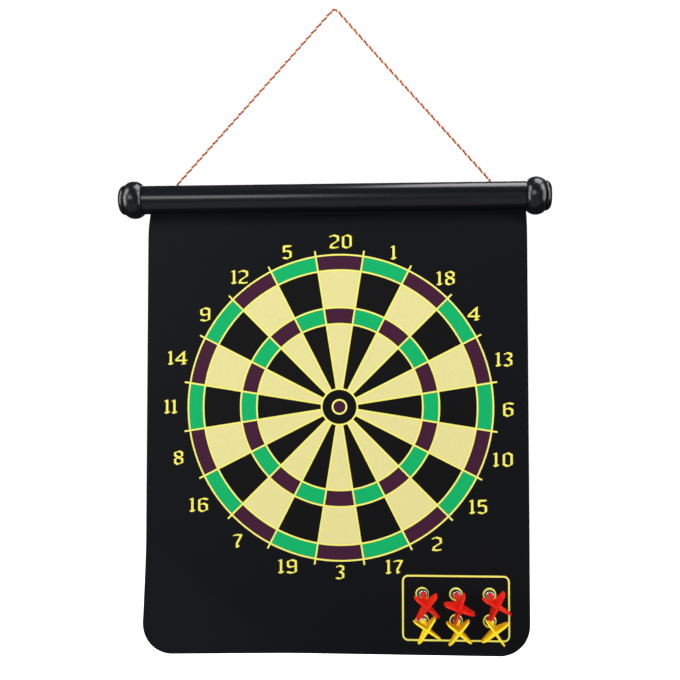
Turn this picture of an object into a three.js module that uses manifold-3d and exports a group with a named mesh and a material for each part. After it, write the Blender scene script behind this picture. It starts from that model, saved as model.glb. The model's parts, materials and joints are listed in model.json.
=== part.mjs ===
// A roll-up magnetic dartboard: a printed ferrous mat that hangs from a slotted tube on a twisted cord,
// with six magnetic darts parked in the box at its lower right.
// Millimetres. +Z is up, the printed face looks along -Y, and +X is right as the player sees it.
// The origin is where the nail carries the cord: the underside of the cord at the top of its loop.
import * as THREE from 'three';
import { mergeVertices } from 'three/addons/utils/BufferGeometryUtils.js';
import Module from 'manifold-3d';

const wasm = await Module();
wasm.setup();

// Driving dimensions
const tube = { radius: 14, wall: 2, length: 371.8, centreX: -1.35, axisZ: -187.2 };
const slotWidth = 4.5;
const knob = { rim: 14.7, bulb: 18.4, bulbLength: 17.6, groove: 13.6, cap: 14.6, capLength: 5.8, spigot: 16 };
const cordRadius = 1;
const cordHole = { radius: 2.2, halfSpan: 152.05, offset: -0.6 };
const knotRadius = 3.6;
const bead = { radius: 3, length: 361, belowAxis: 8.5, slit: 1.75 };
const mat = { width: 365, centreX: 1.9, bottomZ: -622.6, cornerRadius: 29, faceY: -8, lean: 2.5 };
const layers = { mat_printed_face: 0.2, mat_ferrous_core: 0.6, mat_backing: 0.2 };
const bond = 0.1;
const bend = { forward: 7.4, depth: 11, sharpness: 1.5, end: 42 };
const printCentre = { x: 5.6, z: -389.5 };
const magnet = { radius: 3.7, length: 2.5 };
const dartCap = { radius: 4.6, length: 6.25, boreRadius: 1.9, nose: 3.3 };
const flight = { length: 54, collar: 2.4, neck: 1.6, pin: 1.4, finRadius: 14.7, finThickness: 1.7 };
const leanPivot = 5;
const gap = 0.3;

// Each dart: where its magnet sits, seen from the print's centre, how far its tail stands off that
// point, and the turn of its fins from the horizontal.
const darts = [
  { name: 'red_dart_1', colour: 'red', at: [79.0, -175.2], tail: [3.2, -4.3], turn: 51 },
  { name: 'red_dart_2', colour: 'red', at: [110.1, -175.4], tail: [1.0, -5.8], turn: 72 },
  { name: 'red_dart_3', colour: 'red', at: [141.1, -175.4], tail: [3.6, -2.4], turn: 62 },
  { name: 'yellow_dart_1', colour: 'yellow', at: [78.9, -200.5], tail: [3.5, 1.8], turn: 57 },
  { name: 'yellow_dart_2', colour: 'yellow', at: [110.5, -200.3], tail: [-0.2, -0.8], turn: 51 },
  { name: 'yellow_dart_3', colour: 'yellow', at: [141.7, -200.6], tail: [0.7, 0.3], turn: 36 },
];

// The cord's centreline, hole to hole over the nail: X and Z, all at Y = 0.
const cordRoute = [
  [-154.0, -174.9], [-154.0, -173.4], [-153.8, -172.0], [-153.0, -170.7], [-149.0, -166.2],
  [-120.0, -133.3], [-80.0, -87.9], [-40.0, -42.5], [-12.0, -10.5], [-6.0, -3.7],
  [-3.0, -0.4], [-1.6, 0.7], [0.0, 1.0], [1.6, 0.7], [3.0, -0.4],
  [6.0, -3.9], [12.0, -11.0], [40.0, -44.1], [80.0, -90.5], [120.0, -136.9],
  [145.5, -166.5], [149.1, -170.7], [149.9, -172.0], [150.1, -173.4], [150.1, -174.9],
];

const materials = {
  cord: new THREE.MeshStandardMaterial({ color: 0xb8352a, roughness: 0.8, metalness: 0 }),
  tube: new THREE.MeshStandardMaterial({ color: 0x17181b, roughness: 0.25, metalness: 0 }),
  knob: new THREE.MeshStandardMaterial({ color: 0x141517, roughness: 0.3, metalness: 0 }),
  bead: new THREE.MeshStandardMaterial({ color: 0x2a2a2c, roughness: 0.5, metalness: 0 }),
  mat_printed_face: new THREE.MeshStandardMaterial({ color: 0x191b1f, roughness: 0.6, metalness: 0 }),
  mat_ferrous_core: new THREE.MeshStandardMaterial({ color: 0x3a3632, roughness: 0.8, metalness: 0.1 }),
  mat_backing: new THREE.MeshStandardMaterial({ color: 0x1c1c1e, roughness: 0.9, metalness: 0 }),
  magnet: new THREE.MeshStandardMaterial({ color: 0x9a9a9c, roughness: 0.35, metalness: 1 }),
  chrome: new THREE.MeshStandardMaterial({ color: 0xdadcde, roughness: 0.08, metalness: 1 }),
  red: new THREE.MeshStandardMaterial({ color: 0xd7190a, roughness: 0.45, metalness: 0 }),
  yellow: new THREE.MeshStandardMaterial({ color: 0xebc814, roughness: 0.45, metalness: 0 }),
};

// Helpers

/** A closed geometry as a solid that can be joined and cut. */
function solid(geometry) {
  const bare = geometry.index ? geometry.toNonIndexed() : geometry.clone();
  bare.deleteAttribute('normal');
  bare.deleteAttribute('uv');
  const merged = mergeVertices(bare, 1e-4);
  const mesh = new wasm.Mesh({
    numProp: 3,
    vertProperties: new Float32Array(merged.attributes.position.array),
    triVerts: new Uint32Array(merged.index.array),
  });
  return new wasm.Manifold(mesh);
}

/** A solid back as a geometry. */
function geometryOf(body) {
  const mesh = body.getMesh();
  const geometry = new THREE.BufferGeometry();
  geometry.setAttribute('position', new THREE.BufferAttribute(mesh.vertProperties, 3));
  geometry.setIndex(new THREE.BufferAttribute(mesh.triVerts, 1));
  geometry.computeVertexNormals();
  return geometry;
}

/** A box between two corners. */
function box(low, high) {
  const size = high.map((value, i) => value - low[i]);
  const geometry = new THREE.BoxGeometry(...size);
  geometry.translate(...low.map((value, i) => value + size[i] / 2));
  return geometry;
}

/** A turned body on the Y axis: its profile is [radius, y] pairs, listed anticlockwise. */
function turned(profile, segments) {
  return new THREE.LatheGeometry(profile.map(([r, y]) => new THREE.Vector2(r, y)), segments);
}

/** A body turned on Y, laid along +X, or along -X when side is -1. */
function alongX(geometry, side = 1) {
  return geometry.rotateZ(-side * Math.PI / 2);
}

const object = new THREE.Group();

function add(name, geometry, material, parent = object) {
  const mesh = new THREE.Mesh(geometry, material);
  mesh.name = name;
  parent.add(mesh);
  return mesh;
}

// Hanging cord, and the knot on each of its ends inside the tube

const holeX = [-1, 1].map((side) => tube.centreX + cordHole.offset + side * cordHole.halfSpan);
const tubeTop = tube.axisZ + tube.radius;

function cordGeometry() {
  const sides = 8;
  const steps = 80;
  const points = cordRoute.map(([x, z]) => new THREE.Vector3(x, 0, z));
  const section = new THREE.Shape();
  for (let i = 0; i < sides; i += 1) {
    const angle = (i / sides) * 2 * Math.PI;
    const point = [cordRadius * Math.cos(angle), cordRadius * Math.sin(angle)];
    if (i === 0) section.moveTo(...point);
    else section.lineTo(...point);
  }
  const extrudePath = new THREE.CatmullRomCurve3(points, false, 'centripetal');
  return new THREE.ExtrudeGeometry(section, { steps, extrudePath, bevelEnabled: false });
}

add('hanging_cord', cordGeometry(), materials.cord);

['cord_knot_left', 'cord_knot_right'].forEach((name, i) => {
  const knot = add(name, new THREE.SphereGeometry(knotRadius, 16, 10), materials.cord);
  knot.position.set(holeX[i], 0, tubeTop - tube.wall - gap - knotRadius);
});

// Top tube: open at both ends, slotted underneath for the mat, drilled on top for the cord

const tubeFrame = new THREE.Group();
tubeFrame.position.set(tube.centreX, 0, tube.axisZ);
object.add(tubeFrame);

function tubeGeometry() {
  const segments = 48;
  const inner = tube.radius - tube.wall;
  const half = tube.length / 2;
  const outside = new THREE.CylinderGeometry(tube.radius, tube.radius, tube.length, segments);
  const inside = new THREE.CylinderGeometry(inner, inner, tube.length + 2, segments);
  const slot = box([-half - 1, -slotWidth / 2, -tube.radius - 1], [half + 1, slotWidth / 2, -inner + 3]);
  let body = solid(alongX(outside)).subtract(solid(alongX(inside))).subtract(solid(slot));
  for (const x of holeX) {
    const hole = new THREE.CylinderGeometry(cordHole.radius, cordHole.radius, 2 * tube.wall + 2, 20);
    hole.rotateX(Math.PI / 2).translate(x - tube.centreX, 0, tube.radius - tube.wall / 2);
    body = body.subtract(solid(hole));
  }
  return geometryOf(body);
}

add('top_tube', tubeGeometry(), materials.tube, tubeFrame);

// End knobs: a turned bulb and domed cap, on a half-round spigot that clears the mat's bead

function knobGeometry(side) {
  const bulbSteps = 10;
  const capSteps = 5;
  const half = knob.bulbLength / 2;
  const rise = knob.bulb - knob.rim;
  const bulbArc = (half ** 2 + rise ** 2) / (2 * rise);
  const profile = [[0, 0]];
  for (let i = 0; i <= bulbSteps; i += 1) {
    const y = (i / bulbSteps) * knob.bulbLength;
    profile.push([knob.bulb - bulbArc + Math.sqrt(bulbArc ** 2 - (y - half) ** 2), y]);
  }
  profile.push([knob.groove, knob.bulbLength + 0.3]);
  for (let i = 0; i <= capSteps; i += 1) {
    const angle = (i / capSteps) * 0.42 * Math.PI;
    const y = knob.bulbLength + 0.7 + (knob.capLength - 0.7) * Math.sin(angle) ** 1.2;
    profile.push([knob.cap * (1 - 0.42 * (1 - Math.cos(angle))), y]);
  }
  profile.push([0, knob.bulbLength + knob.capLength]);
  const head = solid(alongX(turned(profile, 32), side));
  const spigotRadius = tube.radius - tube.wall - gap;
  const peg = new THREE.CylinderGeometry(spigotRadius, spigotRadius, knob.spigot + 1, 32);
  peg.translate(0, (1 - knob.spigot) / 2, 0);
  const cutaway = box([-40, -20, -20], [40, 20, -2]);
  const spigot = solid(alongX(peg, side)).subtract(solid(cutaway));
  return geometryOf(head.add(spigot));
}

for (const [name, side] of [['end_knob_left', -1], ['end_knob_right', 1]]) {
  const mesh = add(name, knobGeometry(side), materials.knob, tubeFrame);
  mesh.position.x = side * (tube.length / 2 + gap);
}

// Mat: three bonded layers, gripped along their top edge by the bead that the tube's slot holds.
// Its face stands in front of the bead, so the mat and its darts hang leaning back about the bead.
// They are built as if upright, in a group that turns about the bead.

const beadZ = tube.axisZ - bead.belowAxis;
const exitZ = tube.axisZ - tube.radius;
const leaning = new THREE.Group();
leaning.position.z = beadZ;
leaning.rotation.x = THREE.MathUtils.degToRad(mat.lean);
object.add(leaning);
const upright = new THREE.Group();
upright.position.z = -beadZ;
leaning.add(upright);

function beadGeometry() {
  const rod = new THREE.CylinderGeometry(bead.radius, bead.radius, bead.length, 24);
  const slit = box([-bead.length, -bead.slit / 2, -bead.radius - 1], [bead.length, bead.slit / 2, gap]);
  return geometryOf(solid(alongX(rod)).subtract(solid(slit)));
}

const beadMesh = add('mat_bead', beadGeometry(), materials.bead, upright);
beadMesh.position.set(mat.centreX, 0, beadZ);

/** How far the mat's face has come forward, at a depth below the tube's underside. */
function forwardAt(depth) {
  if (depth >= bend.end) return bend.forward;
  return bend.forward * (1 - Math.exp(-((depth / bend.depth) ** bend.sharpness)));
}

/** One layer of the mat, between two distances behind its printed face. */
function layerGeometry(front, back) {
  const depths = [0, 3, 6, 9, 12, 16, 21, 28, bend.end];
  const topZ = beadZ - gap / 2;
  const bent = depths.map((depth) => [-forwardAt(depth), exitZ - depth]);
  const centreline = [[0, topZ], ...bent, [-bend.forward, mat.bottomZ]];
  const outline = new THREE.Shape();
  const faceY = mat.faceY + bend.forward;
  centreline.forEach(([y, z], i) => {
    const point = [y + faceY + front, z];
    if (i === 0) outline.moveTo(...point);
    else outline.lineTo(...point);
  });
  [...centreline].reverse().forEach(([y, z]) => outline.lineTo(y + faceY + back, z));
  const strip = new THREE.ExtrudeGeometry(outline, { depth: mat.width, bevelEnabled: false });
  const toWorld = new THREE.Matrix4().set(0, 0, 1, -mat.width / 2, 1, 0, 0, 0, 0, 1, 0, 0, 0, 0, 0, 1);
  let body = solid(strip.applyMatrix4(toWorld));
  for (const side of [-1, 1]) body = body.subtract(solid(cornerCutter(side)));
  return geometryOf(body);
}

/** What is cut from a lower corner of the mat to round it. */
function cornerCutter(side) {
  const reach = mat.width / 2 + 5;
  const radius = mat.cornerRadius;
  const centre = [side * (mat.width / 2 - radius), mat.bottomZ + radius];
  const steps = 12;
  const cutter = new THREE.Shape();
  cutter.moveTo(side * reach, mat.bottomZ - 5);
  cutter.lineTo(side * reach, centre[1]);
  for (let i = 0; i <= steps; i += 1) {
    const angle = (i / steps) * (Math.PI / 2);
    cutter.lineTo(centre[0] + side * radius * Math.cos(angle), centre[1] - radius * Math.sin(angle));
  }
  cutter.lineTo(centre[0], mat.bottomZ - 5);
  const geometry = new THREE.ExtrudeGeometry(cutter, { depth: 40, bevelEnabled: false });
  return geometry.rotateX(Math.PI / 2).translate(0, 20, 0);
}

let layerFront = 0;
for (const [name, thickness] of Object.entries(layers)) {
  const layer = layerGeometry(layerFront, layerFront + thickness);
  const mesh = add(name, layer, materials[name], upright);
  mesh.position.x = mat.centreX;
  layerFront += thickness + bond;
}

// Darts, each built on the Y axis: 0 is the face it stands on, and it grows towards -Y

function magnetGeometry() {
  const disc = new THREE.CylinderGeometry(magnet.radius, magnet.radius, magnet.length, 20);
  return disc.translate(0, -magnet.length / 2, 0);
}

/** A chromed cup over the magnet, open at the board and bored at its nose for the flight's pin. */
function capGeometry() {
  const { radius, length, boreRadius, nose } = dartCap;
  const cavity = magnet.radius + gap;
  const floor = magnet.length + gap;
  const outside = [
    [radius - 0.3, 0.25], [radius, 0.6], [radius, 3.0], [4.4, 3.6], [4.0, 4.6], [3.6, 5.7], [nose, length],
  ];
  const inside = [[boreRadius, length], [boreRadius, floor], [cavity, floor], [cavity, 0.25]];
  const profile = [...outside, ...inside].map(([r, h]) => [r, -h]);
  profile.push(profile[0]);
  return geometryOf(solid(turned(profile.reverse(), 20)));
}

/** A moulded flight: pin, collar, neck and four fins, with its origin at the pivot of its lean. */
function flightGeometry() {
  const { length, collar, neck, pin, finRadius, finThickness } = flight;
  const profile = [
    [0, 3.7], [pin, 3.7], [pin, 6.9], [collar - 0.4, 6.9], [collar, 7.3], [collar, 11.2], [collar - 0.4, 11.8],
    [neck + 0.2, 12.1], [neck, 13.2], [neck, length - 1.5], [0.8, length - 0.4], [0, length - 0.4],
  ].map(([r, h]) => [r, -h]);
  let body = solid(turned(profile.reverse(), 16));
  const outline = new THREE.Shape();
  outline.moveTo(0, -26);
  outline.lineTo(neck, -27.5);
  outline.bezierCurveTo(3.0, -29.5, 6.0, -31.0, 9.0, -34.5);
  outline.bezierCurveTo(11.5, -37.2, finRadius, -39.0, finRadius, -43.5);
  outline.bezierCurveTo(finRadius, -50.0, 13.0, -53.2, 9.5, -53.5);
  outline.lineTo(0, -length);
  for (let quarter = 0; quarter < 4; quarter += 1) {
    const settings = { depth: finThickness, bevelEnabled: false, curveSegments: 7 };
    const fin = new THREE.ExtrudeGeometry(outline, settings);
    fin.translate(0, 0, -finThickness / 2).rotateY((quarter * Math.PI) / 2);
    body = body.add(solid(fin));
  }
  return geometryOf(body).translate(0, leanPivot, 0);
}

for (const dart of darts) {
  const [x, z] = dart.at;
  const place = new THREE.Group();
  place.position.set(printCentre.x + x, mat.faceY - bond, printCentre.z + z);
  upright.add(place);
  add(`${dart.name}_magnet`, magnetGeometry(), materials.magnet, place);
  add(`${dart.name}_cap`, capGeometry(), materials.chrome, place);
  const mesh = add(`${dart.name}_flight`, flightGeometry(), materials[dart.colour], place);
  const [tailX, tailZ] = dart.tail;
  const straight = new THREE.Vector3(0, -1, 0);
  const towardsTail = new THREE.Vector3(tailX, leanPivot - flight.length, tailZ).normalize();
  const aboutY = new THREE.Vector3(0, -1, 0);
  const turn = new THREE.Quaternion().setFromAxisAngle(aboutY, THREE.MathUtils.degToRad(dart.turn));
  mesh.quaternion.setFromUnitVectors(straight, towardsTail).multiply(turn);
  mesh.position.y = -leanPivot;
}

export default object;
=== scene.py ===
"""A roll-up magnetic dartboard on its hanging cord, with six magnetic darts parked on its mat.

The frame brings every part in place, in metres. Shapes made here are given in millimetres and are
scaled by MM. The mat and the darts are built as if the mat hung straight down, and LEANING then turns
them back about the bead, as the frame has them.
"""
import json
import math

import bmesh
import bpy
from mathutils import Euler, Matrix, Vector
from mathutils.geometry import convex_hull_2d, delaunay_2d_cdt


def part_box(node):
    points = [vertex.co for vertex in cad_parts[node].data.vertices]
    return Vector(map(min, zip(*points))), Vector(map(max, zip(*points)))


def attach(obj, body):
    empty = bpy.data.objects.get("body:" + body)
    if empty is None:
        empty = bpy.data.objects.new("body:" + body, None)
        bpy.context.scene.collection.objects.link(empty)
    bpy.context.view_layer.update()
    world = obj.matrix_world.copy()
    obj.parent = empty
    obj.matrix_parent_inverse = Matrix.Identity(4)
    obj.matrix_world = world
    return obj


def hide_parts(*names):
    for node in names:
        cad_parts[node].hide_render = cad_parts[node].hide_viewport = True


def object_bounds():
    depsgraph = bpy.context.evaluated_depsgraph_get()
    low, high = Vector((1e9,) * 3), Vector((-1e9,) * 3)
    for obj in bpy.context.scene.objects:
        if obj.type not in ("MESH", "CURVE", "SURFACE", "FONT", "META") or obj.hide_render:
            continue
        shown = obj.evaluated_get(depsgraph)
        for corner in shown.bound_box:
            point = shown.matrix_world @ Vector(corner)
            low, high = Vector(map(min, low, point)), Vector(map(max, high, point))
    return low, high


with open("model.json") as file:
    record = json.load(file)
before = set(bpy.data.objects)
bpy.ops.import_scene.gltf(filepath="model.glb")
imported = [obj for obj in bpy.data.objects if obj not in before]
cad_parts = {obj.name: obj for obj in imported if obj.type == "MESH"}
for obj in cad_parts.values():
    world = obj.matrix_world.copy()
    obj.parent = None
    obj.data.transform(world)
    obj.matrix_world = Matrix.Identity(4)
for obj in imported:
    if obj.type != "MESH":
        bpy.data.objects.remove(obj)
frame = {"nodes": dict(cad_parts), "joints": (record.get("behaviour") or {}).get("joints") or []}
cad_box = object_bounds()
scene = bpy.context.scene

MM = 0.001
NODES = frame["nodes"]
JOINTS = {joint["name"]: joint for joint in frame["joints"]}

# Places read from the frame, in millimetres

TUBE_LOW, TUBE_HIGH = (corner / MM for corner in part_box("top_tube"))
TUBE_RADIUS = (TUBE_HIGH.y - TUBE_LOW.y) / 2
TUBE_AXIS_Z = TUBE_HIGH.z - TUBE_RADIUS
BEAD = Vector(JOINTS["mat_swing"]["pos_m"]) / MM
MAT_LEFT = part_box("mat_printed_face")[0].x / MM
MAT_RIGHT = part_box("mat_printed_face")[1].x / MM

# Driving dimensions, in millimetres

TUBE_WALL = 2.0
SLOT_WIDTH = 4.5
CORD_HOLE_RADIUS = 2.2
MAT_LEAN = math.radians(2.5)
MAT_TOP_Z = BEAD.z - 0.15
MAT_BOTTOM_Z = -622.6
MAT_CORNER = 29.0
MAT_FRONT = 0.6
MAT_THICKNESS = 1.2
BEND_FORWARD, BEND_DEPTH, BEND_SHARPNESS = 7.4, 11.0, 1.5
PRINT_CENTRE = Vector((5.6, -389.5))
DART_FOOT_Y = -8.1
LEAN_PIVOT = 5.0

LEANING = (
    Matrix.Diagonal((MM, MM, MM, 1))
    @ Matrix.Translation((0, 0, BEAD.z))
    @ Matrix.Rotation(MAT_LEAN, 4, "X")
    @ Matrix.Translation((0, 0, -BEAD.z))
)
UPRIGHT = Matrix.Diagonal((MM, MM, MM, 1))


# Helpers for shapes

SHARP = 32


def closed_mesh(name, verts, faces, materials=(), face_materials=None):
    """A closed mesh with its faces turned outwards."""
    mesh = bpy.data.meshes.new(name)
    mesh.from_pydata([tuple(v) for v in verts], [], faces)
    for material in materials:
        mesh.materials.append(material)
    if face_materials:
        mesh.polygons.foreach_set("material_index", face_materials)
    bm = bmesh.new()
    bm.from_mesh(mesh)
    bmesh.ops.recalc_face_normals(bm, faces=bm.faces)
    bm.to_mesh(mesh)
    bm.free()
    return mesh


def smooth(mesh, sharp=SHARP):
    """Smooth shading, except across edges sharper than sharp degrees."""
    mesh.shade_smooth()
    mesh.set_sharp_from_angle(angle=math.radians(sharp))


def make_piece(name, verts, faces, materials, body, replaced=(), face_materials=None, sharp=SHARP):
    """A closed, smooth mesh as a piece on a body, with the CAD nodes that it replaces."""
    mesh = closed_mesh(name, verts, faces, materials, face_materials)
    smooth(mesh, sharp)
    piece = bpy.data.objects.new(name, mesh)
    scene.collection.objects.link(piece)
    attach(piece, body)
    if replaced:
        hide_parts(*replaced)
    return piece


def turned(profile, segments, place):
    """A turned body: [radius, height] pairs from axis to axis, or a closed ring when none is zero."""
    verts, rows, faces = [], [], []
    for radius, height in profile:
        if radius == 0:
            rows.append([len(verts)])
            verts.append(place @ Vector((0, 0, height)))
            continue
        rows.append(list(range(len(verts), len(verts) + segments)))
        for i in range(segments):
            angle = 2 * math.pi * i / segments
            verts.append(place @ Vector((radius * math.cos(angle), radius * math.sin(angle), height)))
    is_ring = all(radius > 0 for radius, _ in profile)
    pairs = list(zip(rows, rows[1:] + rows[:1])) if is_ring else list(zip(rows, rows[1:]))
    for low, high in pairs:
        faces += strip(low, high)
    return verts, faces


def strip(low, high):
    """The faces between two closed rows of vertices, either of which may be a single point."""
    count = max(len(low), len(high))
    faces = []
    for i in range(count):
        j = (i + 1) % count
        if len(low) == 1:
            faces.append((low[0], high[j], high[i]))
        elif len(high) == 1:
            faces.append((low[i], low[j], high[0]))
        else:
            faces.append((low[i], low[j], high[j], high[i]))
    return faces


def merged(*parts):
    """Several lists of vertices and faces as one."""
    verts, faces = [], []
    for part_verts, part_faces in parts:
        start = len(verts)
        verts += part_verts
        faces += [tuple(start + i for i in face) for face in part_faces]
    return verts, faces


def curve_through(points, spacing):
    """A centripetal Catmull-Rom curve through the points, with about that spacing."""
    ends = [2 * points[0] - points[1], *points, 2 * points[-1] - points[-2]]
    curve = []
    for p0, p1, p2, p3 in zip(ends, ends[1:], ends[2:], ends[3:]):
        t1 = (p1 - p0).length ** 0.5
        t2 = t1 + (p2 - p1).length ** 0.5
        t3 = t2 + (p3 - p2).length ** 0.5
        steps = max(1, round((p2 - p1).length / spacing))
        for i in range(steps):
            t = t1 + (t2 - t1) * i / steps
            a1 = p0.lerp(p1, t / t1)
            a2 = p1.lerp(p2, (t - t1) / (t2 - t1))
            a3 = p2.lerp(p3, (t - t2) / (t3 - t2))
            b1 = a1.lerp(a2, t / t2)
            b2 = a2.lerp(a3, (t - t1) / (t3 - t1))
            curve.append(b1.lerp(b2, (t - t1) / (t2 - t1)))
    return [*curve, points[-1]]


def arc(centre, radius, start, end, steps):
    """Points on a circle, both ends included, with angles in degrees anticlockwise from +X."""
    angles = (math.radians(start + (end - start) * i / steps) for i in range(steps + 1))
    return [Vector((centre[0] + radius * math.cos(a), centre[1] + radius * math.sin(a))) for a in angles]


# Materials

def linear(red, green, blue):
    """A colour given as it looks, 0 to 255, in the linear values that a shader takes."""
    channels = (value / 255 for value in (red, green, blue))
    return [c / 12.92 if c <= 0.04045 else ((c + 0.055) / 1.055) ** 2.4 for c in channels] + [1]


class Finish:
    """A Principled material whose detail comes from procedural nodes in object coordinates."""

    def __init__(self, name, colour, roughness, **sockets):
        self.material = bpy.data.materials.new(name)
        self.material.use_nodes = True
        self.tree = self.material.node_tree
        self.shader = self.tree.nodes["Principled BSDF"]
        self.shader.inputs["Base Color"].default_value = colour
        self.shader.inputs["Roughness"].default_value = roughness
        self.colour = colour
        for socket, value in sockets.items():
            self.shader.inputs[socket.replace("_", " ")].default_value = value
        self.place = self.node("ShaderNodeTexCoord").outputs["Object"]

    def node(self, kind, **settings):
        node = self.tree.nodes.new(kind)
        for name, value in settings.items():
            setattr(node, name, value)
        return node

    def link(self, output, socket):
        self.tree.links.new(output, socket)

    def noise(self, size, detail=2.0, stretch=(1, 1, 1)):
        """Noise whose features are about size millimetres across, longer along a stretched axis."""
        mapping = self.node("ShaderNodeMapping")
        mapping.inputs["Scale"].default_value = [1 / (size * MM * s) for s in stretch]
        self.link(self.place, mapping.inputs["Vector"])
        noise = self.node("ShaderNodeTexNoise")
        noise.inputs["Scale"].default_value = 1
        noise.inputs["Detail"].default_value = detail
        self.link(mapping.outputs["Vector"], noise.inputs["Vector"])
        return noise.outputs["Fac"]

    def spread(self, value, low, high):
        """A 0 to 1 value mapped to a range."""
        node = self.node("ShaderNodeMapRange")
        node.inputs["From Min"].default_value = 0.3
        node.inputs["From Max"].default_value = 0.7
        node.inputs["To Min"].default_value = low
        node.inputs["To Max"].default_value = high
        self.link(value, node.inputs["Value"])
        return node.outputs["Result"]

    def mottle(self, value, other, amount):
        """Mixes the base colour towards another by a value, up to an amount."""
        mix = self.node("ShaderNodeMix", data_type="RGBA")
        mix.inputs["A"].default_value = self.colour
        mix.inputs["B"].default_value = other
        self.link(self.spread(value, 0, amount), mix.inputs["Factor"])
        self.link(mix.outputs["Result"], self.shader.inputs["Base Color"])
        return mix

    def bump(self, value, height, after=None):
        """Relief of a height in millimetres."""
        bump = self.node("ShaderNodeBump")
        bump.inputs["Strength"].default_value = 1
        bump.inputs["Distance"].default_value = height * MM
        self.link(value, bump.inputs["Height"])
        if after:
            self.link(after.outputs["Normal"], bump.inputs["Normal"])
        self.link(bump.outputs["Normal"], self.shader.inputs["Normal"])
        return bump

    def rough(self, value, low, high):
        self.link(self.spread(value, low, high), self.shader.inputs["Roughness"])


def printed_film(name, colour, tint):
    """Ink on the mat's fine-grained vinyl film, a little uneven as screen printing is."""
    finish = Finish(name, colour, 0.55, Specular_IOR_Level=0.08)
    finish.mottle(finish.noise(2.2, 3), tint, 0.4)
    finish.rough(finish.noise(1.2, 2), 0.5, 0.6)
    finish.bump(finish.noise(0.55, 3), 0.008)
    return finish.material


def gloss_black(name, colour, roughness, grain, stretch):
    """Black lacquer or moulded plastic, with a faint grain that may run lengthwise."""
    finish = Finish(name, colour, roughness, Specular_IOR_Level=0.5)
    finish.rough(finish.noise(grain * 6, 3, stretch), roughness * 0.85, roughness * 1.2)
    finish.bump(finish.noise(grain, 3, stretch), 0.0015)
    return finish.material


def strand_fibre(name, colour, shade, plies):
    """One twisted strand of the cord: fibres that wind round it, with fuzz in the hollows."""
    finish = Finish(name, colour, 0.72, Sheen_Weight=0.25, Sheen_Roughness=0.4, Specular_IOR_Level=0.25)
    uv = finish.node("ShaderNodeUVMap", uv_map="strand")
    split = finish.node("ShaderNodeSeparateXYZ")
    finish.link(uv.outputs["UV"], split.inputs["Vector"])
    around = finish.node("ShaderNodeMath", operation="MULTIPLY")
    around.inputs[1].default_value = plies
    finish.link(split.outputs["Y"], around.inputs[0])
    wound = finish.node("ShaderNodeMath", operation="ADD")
    finish.link(split.outputs["X"], wound.inputs[0])
    finish.link(around.outputs[0], wound.inputs[1])
    turn = finish.node("ShaderNodeMath", operation="MULTIPLY")
    turn.inputs[1].default_value = 2 * math.pi
    finish.link(wound.outputs[0], turn.inputs[0])
    wave = finish.node("ShaderNodeMath", operation="SINE")
    finish.link(turn.outputs[0], wave.inputs[0])
    lifted = finish.node("ShaderNodeMapRange")
    lifted.inputs["From Min"].default_value = -1
    finish.link(wave.outputs[0], lifted.inputs["Value"])
    # Painted shade: the strand darkens in stripes that follow its fibres' winding.
    finish.mottle(lifted.outputs["Result"], shade, 0.4)
    first = finish.bump(lifted.outputs["Result"], 0.05)
    finish.bump(finish.noise(0.12, 2), 0.03, first)
    return finish.material


# How far up a dart the flight's plastic is fully in its painted shade, and fully its own bright colour
FLIGHT_FULLY_SHADED, FLIGHT_UNSHADED = 14, 56
# Emission that the yellow flights are given, a painted glow, so that they aren't browner than in the photo
YELLOW_GLOW = 0.16


def moulded_flight(name, colour, shaded_colour, glow):
    """Moulded flight plastic, with painted shade that deepens its colour towards the board, and a painted
    glow of the shaded colour as strong as glow.
    """
    # Painted glow: the emission makes the plastic give off light in its shaded colour.
    finish = Finish(
        name, colour, 0.38, Specular_IOR_Level=0.3, Subsurface_Weight=0.6, Subsurface_Scale=0.004,
        Subsurface_Radius=(1, 0.9, 0.6), Emission_Color=shaded_colour, Emission_Strength=glow,
    )
    split = finish.node("ShaderNodeSeparateXYZ")
    finish.link(finish.place, split.inputs["Vector"])
    depth = finish.node("ShaderNodeMapRange", interpolation_type="SMOOTHSTEP")
    depth.inputs["From Min"].default_value = (DART_FOOT_Y - FLIGHT_UNSHADED) * MM
    depth.inputs["From Max"].default_value = (DART_FOOT_Y - FLIGHT_FULLY_SHADED) * MM
    finish.link(split.outputs["Y"], depth.inputs["Value"])
    # Painted shade: the colour darkens towards the board.
    mix = finish.node("ShaderNodeMix", data_type="RGBA")
    mix.inputs["A"].default_value = colour
    mix.inputs["B"].default_value = shaded_colour
    finish.link(depth.outputs["Result"], mix.inputs["Factor"])
    finish.link(mix.outputs["Result"], finish.shader.inputs["Base Color"])
    finish.rough(finish.noise(3, 2), 0.32, 0.46)
    finish.bump(finish.noise(0.5, 2), 0.006)
    return finish.material


def plated(name, colour, low, high, grain):
    """Bright metal plating with fine handling marks."""
    finish = Finish(name, colour, low, Metallic=1.0)
    finish.rough(finish.noise(2.5, 3), low, high)
    finish.bump(finish.noise(grain, 2), 0.0015)
    return finish.material


def dull(name, colour, tint, grain, relief):
    """Rubber or backing cloth with a dull grain."""
    finish = Finish(name, colour, 0.85, Specular_IOR_Level=0.3)
    finish.mottle(finish.noise(grain * 8, 3), tint, 0.5)
    finish.bump(finish.noise(grain, 3), relief)
    return finish.material


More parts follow.
